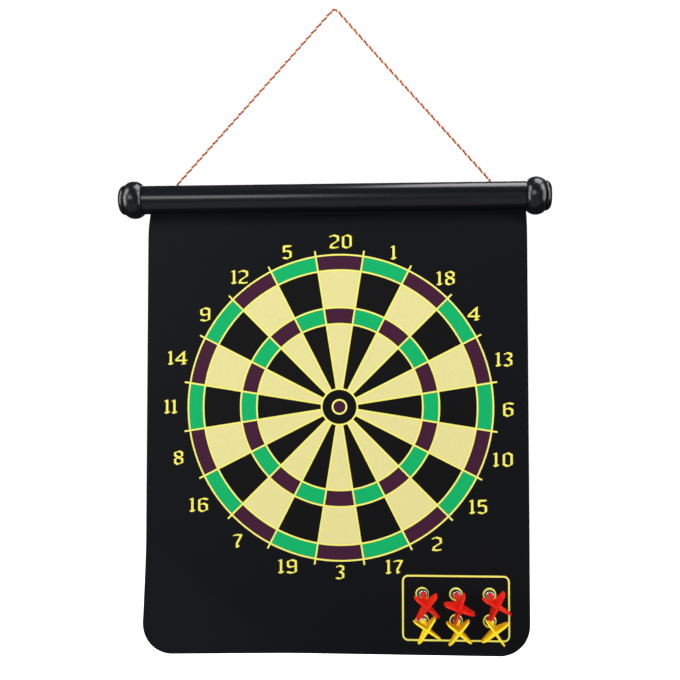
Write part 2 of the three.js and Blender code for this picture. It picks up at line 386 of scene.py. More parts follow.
INKS = {
    "film": printed_film("printed_film_black", linear(16, 18, 22), linear(13, 15, 18)),
    "cream": printed_film("ink_cream", linear(239, 231, 158), linear(230, 221, 148)),
    "purple": printed_film("ink_purple", linear(70, 31, 57), linear(64, 27, 52)),
    "green": printed_film("ink_green", linear(18, 184, 108), linear(14, 177, 101)),
    "black": printed_film("ink_black", linear(17, 17, 19), linear(14, 14, 16)),
    "line": printed_film("ink_line_yellow", linear(255, 248, 124), linear(254, 243, 108)),
    "numeral": printed_film("ink_numeral_yellow", linear(255, 246, 108), linear(252, 240, 90)),
}
CORE = dull("ferrous_sheet", linear(52, 49, 46), linear(40, 38, 36), 0.25, 0.03)
BACKING = dull("backing_film", linear(30, 30, 33), linear(24, 24, 27), 0.8, 0.05)
TUBE_BLACK = gloss_black("tube_black_lacquer", linear(18, 21, 25), 0.2, 0.35, (40, 1, 1))
KNOB_BLACK = gloss_black("knob_black_plastic", linear(18, 20, 23), 0.24, 0.5, (1, 1, 1))
BEAD_PLASTIC = dull("bead_plastic", linear(44, 44, 47), linear(36, 36, 39), 0.4, 0.02)
CORD_RED = strand_fibre("cord_red", linear(205, 48, 32), linear(150, 26, 18), 4)
CORD_CREAM = strand_fibre("cord_cream", linear(246, 218, 160), linear(214, 168, 104), 3)
CHROME = plated("cap_chrome", linear(225, 228, 232), 0.06, 0.13, 0.6)
NICKEL = plated("magnet_nickel", linear(168, 166, 162), 0.28, 0.42, 0.3)
FLIGHT_FINISH = {
    "red": moulded_flight("flight_red_plastic", linear(224, 20, 3), linear(216, 14, 2), 0),
    "yellow": moulded_flight(
        "flight_yellow_plastic", linear(255, 240, 44), linear(255, 196, 6), YELLOW_GLOW
    ),
}


# Camera, whose lens, place and turn in degrees were fitted to the photo

CAMERA = {
    "sensor": 36, "lens": 55.334, "at": (0.0710, -0.9966, -0.4111), "turn": (94.887, -0.143, 3.720),
}


def add_camera():
    data = bpy.data.cameras.new("camera")
    data.sensor_width = CAMERA["sensor"]
    data.lens = CAMERA["lens"]
    camera = bpy.data.objects.new("camera", data)
    scene.collection.objects.link(camera)
    camera.location = CAMERA["at"]
    camera.rotation_euler = Euler([math.radians(angle) for angle in CAMERA["turn"]], "XYZ")
    scene.camera = camera


add_camera()

# Cord: a thick red strand and a thin cream one twisted together, knotted inside the tube

CORD_ROUTE = [Vector((x, 0, z)) for x, z in (
    (-0.1540, -0.1749), (-0.1540, -0.1734), (-0.1538, -0.1720), (-0.1530, -0.1707),
    (-0.1490, -0.1662), (-0.1200, -0.1333), (-0.0800, -0.0879), (-0.0400, -0.0425),
    (-0.0120, -0.0105), (-0.0060, -0.0037), (-0.0030, -0.0004), (-0.0016, 0.0007),
    (0.0, 0.0010), (0.0016, 0.0007), (0.0030, -0.0004), (0.0060, -0.0039),
    (0.0120, -0.0110), (0.0400, -0.0441), (0.0800, -0.0905), (0.1200, -0.1369),
    (0.1455, -0.1665), (0.1491, -0.1707), (0.1499, -0.1720), (0.1501, -0.1734),
    (0.1501, -0.1749),
)]
CORD_DIAMETER = 2.2 * MM
CORD_LAY = 7.7 * MM
STRANDS = (
    {"radius": 0.72 * MM, "off": 0.60 * MM, "phase": 0.0},
    {"radius": 0.55 * MM, "off": 0.70 * MM, "phase": math.pi},
)
STRAND_SIDES = 10
STRAND_STEP = 0.45 * MM
FIBRE_TURN = 6  # how many of its own radii a strand runs for one turn of its fibres
KNOT_STEPS = 96
KNOT_DEPTH = 1.15  # the trefoil's depth in Z, beside 3 for its reach in X and Y


def strand_rows(route, strand):
    """The rings of vertices of one strand as it winds round the route, with its length so far."""
    travelled = 0.0
    centres, outward = [], []
    for i, point in enumerate(route):
        if i:
            travelled += (point - route[i - 1]).length
        along = (route[min(i + 1, len(route) - 1)] - route[max(i - 1, 0)]).normalized()
        across = Vector((0, 1, 0))
        angle = strand["phase"] + 2 * math.pi * travelled / CORD_LAY
        radial = math.cos(angle) * across + math.sin(angle) * along.cross(across)
        centres.append(point + strand["off"] * radial)
        outward.append(radial)
    rows = []
    for i, centre in enumerate(centres):
        along = (centres[min(i + 1, len(centres) - 1)] - centres[max(i - 1, 0)]).normalized()
        first = (outward[i] - outward[i].dot(along) * along).normalized()
        second = along.cross(first)
        row = []
        for k in range(STRAND_SIDES):
            angle = 2 * math.pi * k / STRAND_SIDES
            row.append(centre + strand["radius"] * (math.cos(angle) * first + math.sin(angle) * second))
        rows.append(row)
    return rows


def strand_mesh(rows):
    """A strand's rings as vertices and faces with flat ends."""
    verts = [vertex for row in rows for vertex in row]
    index = [list(range(i * STRAND_SIDES, (i + 1) * STRAND_SIDES)) for i in range(len(rows))]
    faces = [tuple(index[0][::-1])]
    for low, high in zip(index, index[1:]):
        faces += strip(low, high)
    faces.append(tuple(index[-1]))
    return verts, faces


def lay_out_strands(piece, counts, spacing):
    """Writes where each corner is along and around its strand, for the fibre's pattern."""
    layer = piece.data.uv_layers.new(name="strand")
    starts = [sum(counts[:i]) for i in range(len(counts) + 1)]
    for polygon in piece.data.polygons:
        for loop in polygon.loop_indices:
            vertex = piece.data.loops[loop].vertex_index
            strand = next(i for i in range(len(counts)) if vertex < starts[i + 1])
            ring, side = divmod(vertex - starts[strand], STRAND_SIDES)
            along = ring * spacing / STRANDS[strand]["radius"] / FIBRE_TURN
            layer.data[loop].uv = (along, side / STRAND_SIDES)


def add_cord():
    route = curve_through(CORD_ROUTE, STRAND_STEP)
    parts = [strand_mesh(strand_rows(route, strand)) for strand in STRANDS]
    counts = [len(verts) for verts, _ in parts]
    verts, faces = merged(*parts)
    red_faces = len(parts[0][1])
    slots = [0 if i < red_faces else 1 for i in range(len(faces))]
    cord = make_piece(
        "hanging_cord_twisted", verts, faces, [CORD_RED, CORD_CREAM], "hanger",
        ["hanging_cord"], slots, sharp=80,
    )
    lay_out_strands(cord, counts, STRAND_STEP)
    knots = [add_knot(side) for side in ("left", "right")]


def add_knot(side):
    """A trefoil knot of the cord, under its hole inside the tube."""
    node = f"cord_knot_{side}"
    low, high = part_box(node)
    centre = (low + high) / 2
    thickness = CORD_DIAMETER / 2
    size = ((high.x - low.x) / 2 - thickness) / 3

    def trefoil(t):
        return Vector((
            math.sin(t) + 2 * math.sin(2 * t),
            math.cos(t) - 2 * math.cos(2 * t),
            -KNOT_DEPTH * math.sin(3 * t),
        ))

    rows = []
    verts = []
    for i in range(KNOT_STEPS):
        t = 2 * math.pi * i / KNOT_STEPS
        point = trefoil(t)
        along = (trefoil(t + 0.01) - trefoil(t - 0.01)).normalized()
        first = along.cross(Vector((0, 0, 1))).normalized()
        second = along.cross(first)
        rows.append(list(range(len(verts), len(verts) + STRAND_SIDES)))
        for k in range(STRAND_SIDES):
            angle = 2 * math.pi * k / STRAND_SIDES
            ring = thickness * (math.cos(angle) * first + math.sin(angle) * second)
            verts.append(centre + size * point + ring)
    faces = []
    for low_row, high_row in zip(rows, rows[1:] + rows[:1]):
        faces += strip(low_row, high_row)
    return make_piece(f"{node}_tied", verts, faces, [CORD_RED], "tube", [node], sharp=80)


add_cord()

# Top tube, with its slot underneath and its two cord holes

TUBE_SEGMENTS = 96
TUBE_CHAMFER = 0.35
SLOT_LIP = 0.35
TUBE_SPANS = 60
HOLE_STEP, HOLE_STEPS = 0.8, 6
HOLE_EASE, HOLE_EDGE = 0.5, 0.2


def tube_loop(trim):
    """The tube's section as a loop of (y, z), its edges trimmed back for the chamfer on its ends."""
    outer = TUBE_RADIUS - trim
    inner = TUBE_RADIUS - TUBE_WALL + trim
    half_slot = SLOT_WIDTH / 2 + trim
    out_angle = math.degrees(math.asin((half_slot + SLOT_LIP) / outer))
    in_angle = math.degrees(math.asin((half_slot + SLOT_LIP) / inner))
    outside = arc((0, TUBE_AXIS_Z), outer, -90 + out_angle, 270 - out_angle, TUBE_SEGMENTS)
    inside = arc((0, TUBE_AXIS_Z), inner, 270 - in_angle, -90 + in_angle, TUBE_SEGMENTS)
    lips = [
        [
            Vector((side * half_slot, outside[end].y + SLOT_LIP)),
            Vector((side * half_slot, inside[start].y - SLOT_LIP)),
        ]
        for side, end, start in ((-1, -1, 0), (1, 0, -1))
    ]
    return outside + lips[0] + inside + lips[1][::-1]


def tube_stations():
    """Where the tube's sections stand along X: close together round the cord holes."""
    left, right = TUBE_LOW.x, TUBE_HIGH.x
    stations = [(left, TUBE_CHAMFER), (left + TUBE_CHAMFER, 0.0)]
    inside = {round(left + 1 + i * (right - left - 2) / TUBE_SPANS, 3) for i in range(TUBE_SPANS + 1)}
    for point in (CORD_ROUTE[0], CORD_ROUTE[-1]):
        steps = range(-HOLE_STEPS, HOLE_STEPS + 1)
        inside |= {round(point.x / MM + step * HOLE_STEP, 3) for step in steps}
    stations += [(x, 0.0) for x in sorted(inside)]
    return stations + [(right - TUBE_CHAMFER, 0.0), (right, TUBE_CHAMFER)]


def tube_mesh():
    """The tube's sections joined along X, with flat ends between its outside and its bore."""
    verts, rows, faces = [], [], []
    for x, trim in tube_stations():
        loop = tube_loop(trim)
        rows.append(list(range(len(verts), len(verts) + len(loop))))
        verts += [UPRIGHT @ Vector((x, p.x, p.y)) for p in loop]
    for low, high in zip(rows, rows[1:]):
        faces += strip(low, high)
    inner_start = TUBE_SEGMENTS + 3
    last = len(rows[0]) - 1
    for row in (rows[0], rows[-1]):
        for i in range(TUBE_SEGMENTS):
            inner = inner_start + TUBE_SEGMENTS - i
            faces.append((row[i], row[i + 1], row[inner - 1], row[inner]))
        faces.append((row[TUBE_SEGMENTS], row[TUBE_SEGMENTS + 1], row[TUBE_SEGMENTS + 2], row[inner_start]))
        faces.append((row[inner_start + TUBE_SEGMENTS], row[last - 1], row[last], row[0]))
    return verts, faces


def cut_cord_holes(tube):
    """Cuts the two eased holes that the cord comes out of."""
    top = TUBE_HIGH.z
    radius, ease = CORD_HOLE_RADIUS, HOLE_EASE
    profile = [
        (0, top - 2 * TUBE_WALL),
        (radius, top - 2 * TUBE_WALL),
        (radius, top - ease - HOLE_EDGE),
        (radius + 0.15 * ease, top - 0.5 * ease - HOLE_EDGE),
        (radius + ease, top),
        (radius + 2 * ease, top + 2 * ease),
        (0, top + 2 * ease),
    ]
    parts = []
    for point in (CORD_ROUTE[0], CORD_ROUTE[-1]):
        parts.append(turned(profile, 48, UPRIGHT @ Matrix.Translation((point.x / MM, 0, 0))))
    verts, faces = merged(*parts)
    cutter = bpy.data.objects.new("hole_cutter", closed_mesh("hole_cutter", verts, faces))
    scene.collection.objects.link(cutter)
    boolean = tube.modifiers.new("holes", "BOOLEAN")
    boolean.operation = "DIFFERENCE"
    boolean.solver = "EXACT"
    boolean.object = cutter
    bpy.context.view_layer.update()
    cut = bpy.data.meshes.new_from_object(tube.evaluated_get(bpy.context.evaluated_depsgraph_get()))
    tube.modifiers.clear()
    tube.data = cut
    smooth(cut)
    bpy.data.objects.remove(cutter)


def add_tube():
    verts, faces = tube_mesh()
    tube = make_piece(
        "top_tube_lacquered", verts, faces, [TUBE_BLACK], "tube", ["top_tube"],
    )
    cut_cord_holes(tube)


add_tube()

# End knobs: a bulb, a groove and a domed cap, on a spigot inside the tube

KNOB = {
    "rim": 14.7, "bulb": 18.4, "bulb_length": 17.6, "groove": 13.6, "cap": 14.6, "length": 23.4,
    "spigot": 16.0, "spigot_flat": -2.0,
}
BULB_STEPS = 36
DOME = {"start": 0.7, "sweep": 0.42 * math.pi, "narrowing": 0.42, "power": 1.2, "steps": 22}
KNOB_GAP = 0.3
SPIGOT_GAP, SPIGOT_CHAMFER, SPIGOT_ROOT = 0.3, 0.6, 0.4


def knob_profile():
    """The knob's [radius, height] pairs, from the face against the tube out to its domed end."""
    rim, groove, top = KNOB["rim"], KNOB["groove"], KNOB["bulb_length"]
    half = top / 2
    rise = KNOB["bulb"] - rim
    bulb_arc = (half ** 2 + rise ** 2) / (2 * rise)
    profile = [(0, 0), (rim - 0.35, 0), (rim - 0.1, 0.08)]
    for i in range(1, BULB_STEPS):
        height = top * i / BULB_STEPS
        profile.append((KNOB["bulb"] - bulb_arc + math.sqrt(bulb_arc ** 2 - (height - half) ** 2), height))
    profile += [
        (rim - 0.25, top - 0.02),
        (groove + 0.2, top + 0.1),
        (groove, top + 0.3),
        (groove + 0.15, top + 0.5),
    ]
    for i in range(DOME["steps"] + 1):
        angle = DOME["sweep"] * i / DOME["steps"]
        rise_share = math.sin(angle) ** DOME["power"]
        height = top + DOME["start"] + (KNOB["length"] - top - DOME["start"]) * rise_share
        profile.append((KNOB["cap"] * (1 - DOME["narrowing"] * (1 - math.cos(angle))), height))
    end_radius, end_height = profile[-1]
    for share in (0.85, 0.6, 0.3):
        profile.append((end_radius * share, end_height + (KNOB["length"] - end_height) * (1 - share ** 2)))
    return profile + [(0, KNOB["length"])]


def spigot_mesh(place):
    """The part-round peg inside the tube, cut flat above the mat's bead."""
    radius = TUBE_RADIUS - TUBE_WALL - SPIGOT_GAP
    edge = math.degrees(math.asin(KNOB["spigot_flat"] / radius))
    section = arc((0, 0), radius, edge, 180 - edge, 40)
    verts, rows = [], []
    rings = (
        (-KNOB["spigot"], SPIGOT_CHAMFER),
        (-KNOB["spigot"] + SPIGOT_CHAMFER, 0.0),
        (SPIGOT_ROOT, 0.0),
    )
    for height, trim in rings:
        scale = (radius - trim) / radius
        rows.append(list(range(len(verts), len(verts) + len(section))))
        verts += [place @ Vector((p.x * scale, p.y * scale, height)) for p in section]
    faces = [tuple(rows[0]), tuple(rows[-1])]
    for low, high in zip(rows, rows[1:]):
        faces += strip(low, high)
    return verts, faces


def add_knob(side, sign):
    node = f"end_knob_{side}"
    inner_x = (TUBE_HIGH.x if sign > 0 else TUBE_LOW.x) + sign * KNOB_GAP
    # The turning axis, +Z in the profile, goes to +X or -X, and the section's +Y goes to +Z.
    axes = Matrix(((0, 0, sign, 0), (sign, 0, 0, 0), (0, 1, 0, 0), (0, 0, 0, 1)))
    place = UPRIGHT @ Matrix.Translation((inner_x, 0, TUBE_AXIS_Z)) @ axes
    verts, faces = merged(turned(knob_profile(), 96, place), spigot_mesh(place))
    make_piece(f"{node}_moulded", verts, faces, [KNOB_BLACK], "tube", [node], sharp=40)


add_knob("left", -1)
add_knob("right", 1)
NODES["mat_bead"].data.materials.clear()
NODES["mat_bead"].data.materials.append(BEAD_PLASTIC)

# The print, in millimetres from its centre: each shape is an ink and an outline, and later shapes
# lie over earlier ones

LINE = 1.6
SECTOR_COUNT = 20
SECTOR = 360 / SECTOR_COUNT
BOARD_RADIUS = 145.8
TICK_RADIUS = 151.3
TRIPLE = (79.35, 95.0)
DOUBLE = (131.0, BOARD_RADIUS)
BULL_LINE = 17.07
BULL_DISCS = (("line", 17.7), ("black", 16.3), ("line", 7.5), ("purple", 5.8))
NUMERALS = {
    20: (1, 158.5), 1: (52, 147.5), 18: (101.5, 122.5), 4: (128, 88.5), 13: (156, 45),
    6: (160, -2.5), 10: (154.5, -49.5), 15: (131, -94), 2: (92, -129), 17: (52, -151),
    3: (0.5, -156.5), 19: (-49.5, -151.5), 7: (-97.5, -128), 16: (-135, -94), 8: (-155, -49),
    11: (-163, 0), 14: (-156.5, 47), 9: (-130, 89), 12: (-96.5, 125), 5: (-50.5, 148.5),
}
PARKING = {
    "centre": (109.6, -189.0), "width": 99.3, "height": 60.0, "corner": 5.0, "line": 1.7,
    "columns": (78.0, 109.7, 141.1), "rows": (-175.8, -200.5), "ring": 6.3, "ring_line": 1.3,
}
ARC_STEP = 3.5
NIB = {"width": 2.0, "thickness": 0.9, "angle": math.radians(22)}

# How far each digit moves the pen, and its broad-nib strokes from where the pen stands
DIGITS = {
    "0": (12.0, [[(6.8, 13.3), (3.0, 11.6), (3.0, 2.4), (6.6, 0.9), (10.2, 2.6), (10.2, 11.6), (6.8, 13.3)]]),
    "1": (7.1, [[(2.8, 13.0), (2.8, 1.8)], [(1.2, 12.3), (2.6, 13.1)], [(1.2, 1.5), (3.2, 0.9), (4.4, 1.9)]]),
    "2": (10.3, [[(1.0, 12.0), (3.8, 13.2), (8.3, 12.0), (8.3, 8.0), (5.2, 6.2), (2.2, 4.2), (1.2, 1.5),
                  (5.2, 1.1), (8.1, 1.6)]]),
    "3": (9.5, [[(1.9, 12.1), (4.2, 13.2), (7.6, 12.2), (7.6, 9.3), (4.4, 7.5), (7.7, 5.7), (7.7, 2.2),
                 (4.6, 0.9), (1.6, 1.7)]]),
    "4": (12.2, [[(9.0, 13.0), (1.2, 5.6), (1.2, 4.5), (11.0, 4.5)], [(8.6, 12.9), (8.4, 1.8)],
                 [(7.1, 1.3), (9.9, 1.5)]]),
    "5": (10.0, [[(2.1, 12.3), (5.0, 12.5), (8.4, 12.8)], [(2.1, 13.0), (8.2, 13.0)],
                 [(2.1, 12.8), (2.1, 7.5), (5.4, 8.5), (8.5, 7.2), (8.5, 2.5), (5.4, 0.9), (1.8, 1.8)]]),
    "6": (11.0, [[(10.2, 12.4), (6.4, 13.3), (2.4, 12.0), (2.4, 2.4), (5.6, 0.9), (9.7, 2.6), (9.7, 7.0),
                  (6.6, 8.5), (2.6, 7.1)]]),
    "7": (9.3, [[(1.2, 12.2), (3.6, 12.9), (8.2, 12.8), (5.6, 7.6), (4.0, 4.6), (4.0, 1.8)],
                [(4.2, 1.2), (5.6, 2.3)]]),
    "8": (11.0, [[(5.8, 13.4), (2.2, 12.0), (2.2, 9.3), (5.6, 7.4), (9.0, 9.2), (9.0, 12.0), (5.8, 13.4)],
                 [(5.6, 7.4), (2.2, 5.7), (2.2, 2.3), (5.0, 0.9), (9.1, 2.6), (9.1, 5.9), (5.6, 7.4)]]),
    "9": (11.0, [[(2.0, 1.8), (5.8, 0.9), (9.8, 2.2), (9.8, 12.0), (6.0, 13.3), (2.2, 11.6), (2.4, 7.4),
                  (4.6, 6.3), (9.4, 7.6)]]),
}


def disc(radius, centre=(0, 0)):
    """A circle's outline, with more points the larger it is."""
    return arc(centre, radius, 0, 360, max(32, round(radius * 1.4)))[:-1]


def cell(start, inner, outer):
    """One field of the board, inset from its lines; start is its first side's angle in degrees."""
    inset = LINE / 2
    outline = []
    for radius, backwards in ((outer - inset, False), (inner + inset, True)):
        narrowing = math.degrees(math.asin(inset / radius))
        low, high = start + narrowing, start + SECTOR - narrowing
        steps = max(4, round(radius * math.radians(SECTOR) / ARC_STEP))
        edge = arc((0, 0), radius, low, high, steps)
        outline += edge[::-1] if backwards else edge
    return outline


def rounded_box(centre, width, height, corner):
    """A rectangle's outline with round corners."""
    outline = []
    for turn, (sx, sy) in enumerate(((1, 1), (-1, 1), (-1, -1), (1, -1))):
        pivot = (centre[0] + sx * (width / 2 - corner), centre[1] + sy * (height / 2 - corner))
        outline += arc(pivot, corner, 90 * turn, 90 * turn + 90, 8)
    return outline


def strokes(text, centre):
    """The pen strokes of a numeral about its middle, each a stretch of the nib's sweep."""
    half = Vector((math.cos(NIB["angle"]), math.sin(NIB["angle"]))) * NIB["width"] / 2
    thin = Vector((-half.y, half.x)).normalized() * NIB["thickness"] / 2
    nib = [half + thin, half - thin, -half - thin, -half + thin]
    pen = Vector((0, 0))
    shapes = []
    for digit in text:
        advance, lines = DIGITS[digit]
        for line in lines:
            places = [pen + Vector(place) for place in line]
            for start, end in zip(places, places[1:]):
                cloud = [place + corner for place in (start, end) for corner in nib]
                shapes.append([cloud[i] for i in convex_hull_2d(cloud)])
        pen.x += advance
    corners = [corner for shape in shapes for corner in shape]
    low = Vector((min(p.x for p in corners), min(p.y for p in corners)))
    high = Vector((max(p.x for p in corners), max(p.y for p in corners)))
    shift = Vector(centre) - (low + high) / 2
    return [[corner + shift for corner in shape] for shape in shapes]


def print_shapes():
    """Every shape of the print in the order it is laid down: board, ticks, bull, dart box, numerals."""
    shapes = [("line", disc(BOARD_RADIUS + LINE / 2))]
    for i in range(SECTOR_COUNT):
        start = 90 - SECTOR * i - SECTOR / 2
        single, scoring = ("cream", "purple") if i % 2 == 0 else ("black", "green")
        fields = (
            (BULL_LINE, TRIPLE[0], single),
            (*TRIPLE, scoring),
            (TRIPLE[1], DOUBLE[0], single),
            (*DOUBLE, scoring),
        )
        for inner, outer, ink in fields:
            shapes.append((ink, cell(start, inner, outer)))
        edge = math.radians(start)
        along = Vector((math.cos(edge), math.sin(edge)))
        across = Vector((-along.y, along.x)) * LINE / 2
        near, far = along * BOARD_RADIUS, along * TICK_RADIUS
        shapes.append(("line", [near - across, far - across, far + across, near + across]))
    for ink, radius in BULL_DISCS:
        shapes.append((ink, disc(radius)))
    box = PARKING
    for ink, grow in (("line", box["line"] / 2), ("film", -box["line"] / 2)):
        outline = rounded_box(
            box["centre"], box["width"] + 2 * grow, box["height"] + 2 * grow, box["corner"] + grow
        )
        shapes.append((ink, outline))
    for x in box["columns"]:
        for z in box["rows"]:
            shapes.append(("line", disc(box["ring"], (x, z))))
            shapes.append(("film", disc(box["ring"] - box["ring_line"], (x, z))))
    for number, centre in NUMERALS.items():
        shapes += [("numeral", outline) for outline in strokes(str(number), centre)]
    return shapes


# The mat: one bonded sheet that comes forward out of the slot and hangs flat, its lower left corner
# curling off the wall

CURL_ANGLE = 0.95
CURL_TOWARDS = Vector((-math.cos(CURL_ANGLE), -math.sin(CURL_ANGLE)))
CURL = {"from_corner": 85.0, "height": 30.0, "over": 100.0, "power": 1.4}
MAT_COLUMNS = 66
ROW_STEP, BENT_ROW_STEP, BENT_LENGTH = 5.5, 2.0, 50
CORNER_STEPS = 20
BORDER_CLEARANCE = 2
FILM_DEPTH, CORE_DEPTH = 0.25, 0.95


def forward_at(z):
    """How far the sheet has come forward at a height below the tube."""
    depth = max(0.0, TUBE_AXIS_Z - TUBE_RADIUS - z)
    return BEND_FORWARD * (1 - math.exp(-((depth / BEND_DEPTH) ** BEND_SHARPNESS)))


def sheet_point(flat, behind):
    """Where a point of the flat sheet hangs; behind is how far it is into the sheet's thickness."""
    corner = Vector((MAT_LEFT, MAT_BOTTOM_Z))
    reach = (flat - corner).dot(CURL_TOWARDS) + CURL["from_corner"]
    lift = 0.0
    if reach > 0:
        power = CURL["power"]
        lift = CURL["height"] * (reach / CURL["over"]) ** power
        slope = power * lift / reach
        flat = flat - CURL_TOWARDS * (slope ** 2 * reach / (2 * (2 * power - 1)))
    y = -MAT_FRONT - forward_at(flat.y) - lift + behind
    return LEANING @ Vector((flat.x, y, flat.y))


def mat_rows():
    """Heights of the sheet's rows of points: close together where it bends."""
    rows = []
    z = MAT_TOP_Z
    while z > MAT_BOTTOM_Z + MAT_CORNER:
        rows.append(z)
        z -= BENT_ROW_STEP if z > MAT_TOP_Z - BENT_LENGTH else ROW_STEP
    return rows


def mat_columns():
    """Where the sheet's columns of points stand between its sides."""
    return [MAT_LEFT + (MAT_RIGHT - MAT_LEFT) * i / MAT_COLUMNS for i in range(1, MAT_COLUMNS)]


def mat_outline():
    """The flat sheet's edge, down its left side first."""
    left, right, corner = MAT_LEFT, MAT_RIGHT, MAT_CORNER
    rows = mat_rows()
    columns = mat_columns()
    outline = [Vector((left, z)) for z in rows]
    outline += arc((left + corner, MAT_BOTTOM_Z + corner), corner, 180, 270, CORNER_STEPS)
    outline += [Vector((x, MAT_BOTTOM_Z)) for x in columns if left + corner < x < right - corner]
    outline += arc((right - corner, MAT_BOTTOM_Z + corner), corner, 270, 360, CORNER_STEPS)
    outline += [Vector((right, z)) for z in rows[::-1]]
    return outline + [Vector((x, MAT_TOP_Z)) for x in columns[::-1]]


def inner_points():
    """Points inside the outline that let the sheet bend and curl."""
    points = []
    rows = mat_rows()[1:]
    rows += [MAT_BOTTOM_Z + MAT_CORNER - ROW_STEP * i for i in range(1, 5)]
    for z in rows:
        for x in mat_columns():
            pivot_x = min(max(x, MAT_LEFT + MAT_CORNER), MAT_RIGHT - MAT_CORNER)
            pivot_z = max(z, MAT_BOTTOM_Z + MAT_CORNER)
            if math.hypot(x - pivot_x, z - pivot_z) < MAT_CORNER - BORDER_CLEARANCE:
                points.append(Vector((x, z)))
    return points


def triangulated(shapes):
    """The sheet cut into triangles along every shape's outline: points, triangles, inks and border."""
    points, outlines = [], []
    for _, outline in shapes:
        outlines.append(list(range(len(points), len(points) + len(outline))))
        points += outline
    points += inner_points()
    flat, _, triangles, origins, _, covers = delaunay_2d_cdt(points, [], outlines, 1, 1e-5, True)
    place = {source: i for i, sources in enumerate(origins) for source in sources}
    border = [place[i] for i in outlines[0]]
    return flat, triangles, [shapes[max(cover)][0] for cover in covers], border


def add_mat():
    """The printed face, the edges of the three layers and the back, as one closed sheet."""
    outline = mat_outline()
    shapes = [("film", outline)]
    shapes += [(ink, [p + PRINT_CENTRE for p in polygon]) for ink, polygon in print_shapes()]
    front_flat, front_faces, inks, front_border = triangulated(shapes)
    back_flat, back_faces, _, back_border = triangulated([("film", outline)])
    verts = [sheet_point(p, 0) for p in front_flat]
    faces = list(front_faces)
    names = list(INKS)
    slots = [names.index(ink) for ink in inks]
    loops = [front_border]
    for behind in (FILM_DEPTH, CORE_DEPTH):
        loops.append(list(range(len(verts), len(verts) + len(outline))))
        verts += [sheet_point(p, behind) for p in outline]
    start = len(verts)
    verts += [sheet_point(p, MAT_THICKNESS) for p in back_flat]
    loops.append([start + i for i in back_border])
    faces += [tuple(start + i for i in face) for face in back_faces]
    slots += [len(names) + 1] * len(back_faces)
    for (low, high), slot in zip(zip(loops, loops[1:]), (0, len(names), len(names) + 1)):
        band = strip(low, high)
        faces += band
        slots += [slot] * len(band)
    mat = make_piece(
        "mat_sheet", verts, faces, [*INKS.values(), CORE, BACKING], "mat",
        ["mat_printed_face", "mat_ferrous_core", "mat_backing"], slots, sharp=50,
    )
    profile = [Vector((forward_at(z), z)) for z in (*mat_rows(), MAT_BOTTOM_Z)]


add_mat()

# Darts: a magnet in a chromed cap, and a moulded flight of four fins

DARTS = {
    "red_dart_1": {"at": (79.0, -175.2), "tail": (3.2, -4.3), "turn": 51},
    "red_dart_2": {"at": (110.1, -175.4), "tail": (1.0, -5.8), "turn": 72},
    "red_dart_3": {"at": (141.1, -175.4), "tail": (3.6, -2.4), "turn": 62},
    "yellow_dart_1": {"at": (78.9, -200.5), "tail": (3.5, 1.8), "turn": 57},
    "yellow_dart_2": {"at": (110.5, -200.3), "tail": (-0.2, -0.8), "turn": 51},
    "yellow_dart_3": {"at": (141.7, -200.6), "tail": (0.7, 0.3), "turn": 36},
}
FLIGHT = {
    "length": 54.0, "core": 1.6, "fin_root": 0.85, "fin_tip": 0.5, "fin_radius": 14.7,
    "rear": 53.5, "rounding": 0.7, "slimmest": 0.45,
}
MAGNET_PROFILE = [
    (0, 0), (3.4, 0), (3.61, 0.09), (3.7, 0.3), (3.7, 2.2), (3.61, 2.41), (3.4, 2.5), (0, 2.5),
]
CAP_OUTSIDE = [
    (4.25, 0.25), (4.5, 0.36), (4.6, 0.62), (4.6, 1.6), (4.6, 2.7), (4.56, 3.1), (4.4, 3.6), (4.22, 4.1),
    (4.0, 4.6), (3.78, 5.15), (3.6, 5.7), (3.46, 6.08), (3.2, 6.25),
]
CAP_INSIDE = [(2.1, 6.25), (1.9, 6.05), (1.9, 2.8), (4.0, 2.8), (4.0, 0.35), (4.1, 0.25)]
FLIGHT_BODY = [
    (1.2, 3.7), (1.4, 3.9), (1.4, 6.9), (2.0, 6.9), (2.28, 7.05), (2.4, 7.35), (2.4, 10.9), (2.34, 11.3),
    (2.2, 11.65), (2.0, 11.85), (1.8, 12.15), (1.66, 12.6), (1.6, 13.4), (1.6, 20.0), (1.6, 26.6),
    (1.6, 27.2),
]
FIN_POINTS = 14


def bezier(points, steps):
    """Points on a Bezier curve after its first, by de Casteljau's rule."""
    out = []
    for i in range(1, steps + 1):
        level = [Vector(p) for p in points]
        while len(level) > 1:
            level = [a.lerp(b, i / steps) for a, b in zip(level, level[1:])]
        out.append(level[0])
    return out


def fin_outline():
    """The fin's edge as [radius, height] pairs from where it leaves the neck to its rounded rear."""
    radius = FLIGHT["fin_radius"]
    edge = bezier([(1.6, 27.5), (3.0, 29.5), (6.0, 31.0), (9.0, 34.5)], 10)
    edge += bezier([(9.0, 34.5), (11.5, 37.2), (radius, 39.0), (radius, 43.5)], 10)
    return edge + bezier([(radius, 43.5), (radius, 50.0), (13.0, 53.2), (9.5, FLIGHT["rear"])], 14)


